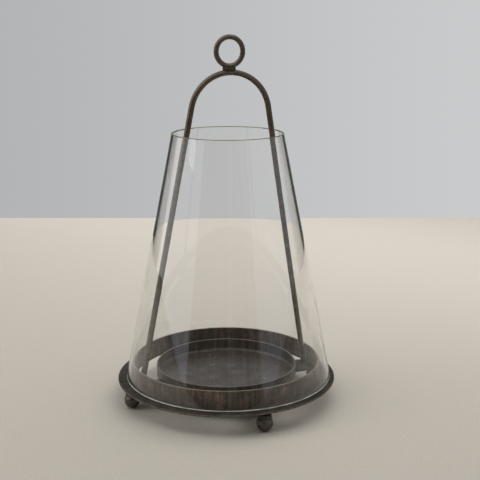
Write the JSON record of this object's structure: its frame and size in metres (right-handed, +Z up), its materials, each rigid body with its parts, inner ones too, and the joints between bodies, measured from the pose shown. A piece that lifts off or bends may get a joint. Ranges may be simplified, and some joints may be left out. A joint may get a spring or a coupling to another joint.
{
  "type": "glass cloche candle lantern",
  "caption": "Tapered open-topped glass shade standing on a round iron base with a candle cup, ball feet and a tall bow handle with a hanging ring; the shade lifts off.",
  "frame": {"origin": "on the table, under the middle of the base", "axes": "+Z up; the handle's bow and the long bar lie in the XZ plane, -Y is the front"},
  "size_m": [0.2286, 0.2286, 0.3766],
  "materials": {
    "dark_iron": "aged black-brown iron, worn lighter on the edges",
    "brown_iron": "iron with a brown rusty patina",
    "weld_metal": "rough weld bead, blackened",
    "clear_glass": "clear, faintly grey-green, fire-polished edges"
  },
  "bodies": {
    "stand": {"base_flange": "dark_iron", "collar_band": "brown_iron", "cross_bar": "dark_iron", "front_arm": "dark_iron", "back_arm": "dark_iron", "candle_cup": "dark_iron", "handle_rod": "dark_iron", "hanging_ring": "dark_iron", "ring_weld": "weld_metal", "leg_welds": "weld_metal", "foot_welds": "weld_metal", "front_foot": "brown_iron", "right_foot": "brown_iron", "back_foot": "brown_iron", "left_foot": "brown_iron"},
    "shade": {"glass_shade": "clear_glass"}
  },
  "joints": [
    {"name": "shade_lift", "type": "slide", "parent": "stand", "child": "shade", "axis": [0, 0, 1], "range_m": [0, 0.36]}
  ]
}
